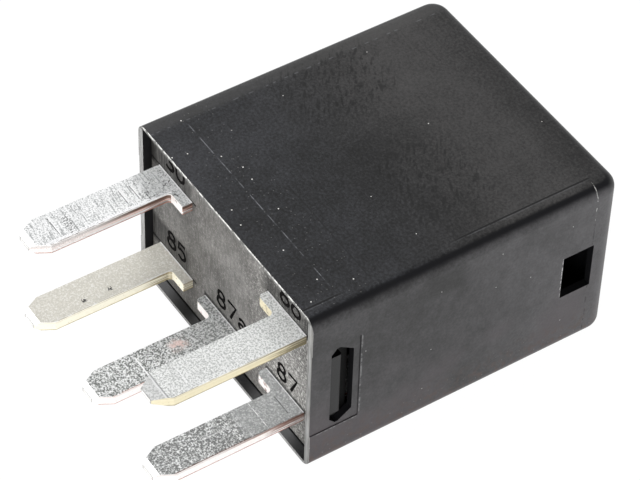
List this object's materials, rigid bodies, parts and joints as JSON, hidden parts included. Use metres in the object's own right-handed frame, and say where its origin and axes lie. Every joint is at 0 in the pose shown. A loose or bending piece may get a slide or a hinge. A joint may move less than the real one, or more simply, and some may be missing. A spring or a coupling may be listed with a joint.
{
  "type": "automotive relay",
  "caption": "Plug-in changeover relay: a flat black box housing with flat blade terminals at one end and a hinged armature inside.",
  "frame": {"origin": "centre of the underside of the box round the whole relay, which lies on its broad side", "axes": "+X across the housing, +Y from the blade tips to the closed end, +Z through the thickness"},
  "size_m": [0.0226, 0.0364, 0.015],
  "materials": {
    "housing": "fine satin moulding",
    "base": "matte moulding",
    "copper_blade": "tinned copper, bare at the cut edges",
    "brass_blade": "tinned brass, bare at the cut edges",
    "iron": "plated soft iron",
    "bobbin": "natural nylon",
    "copper_wire": "enamelled copper",
    "tape": "amber film",
    "solder": "solder",
    "bronze": "rolled bronze strip",
    "rivet": "plated",
    "contact": "silver alloy"
  },
  "bodies": {
    "relay": {"cover": "housing", "base": "base", "terminal_30": "copper_blade", "terminal_85": "brass_blade", "terminal_86": "brass_blade", "terminal_87": "copper_blade", "terminal_87a": "copper_blade", "yoke": "iron", "core": "iron", "bobbin": "bobbin", "winding": "copper_wire", "coil_tape": "tape", "coil_lead_85": "copper_wire", "coil_lead_86": "copper_wire", "solder_85": "solder", "solder_86": "solder", "yoke_rivets": "rivet", "contact_87": "contact", "contact_87a": "contact"},
    "armature": {"armature": "iron", "contact_spring": "bronze", "armature_rivets": "rivet", "moving_contact": "contact"}
  },
  "joints": [
    {"name": "armature_hinge", "type": "hinge", "parent": "relay", "child": "armature", "pos_m": [-0.01005, 0.01175, 0.0075], "axis": [0, 0, 1], "range_deg": [-1.95, 0], "stiffness_Nm_per_rad": 0.05, "springref_deg": 3.44, "deforming": ["contact_spring"]}
  ]
}
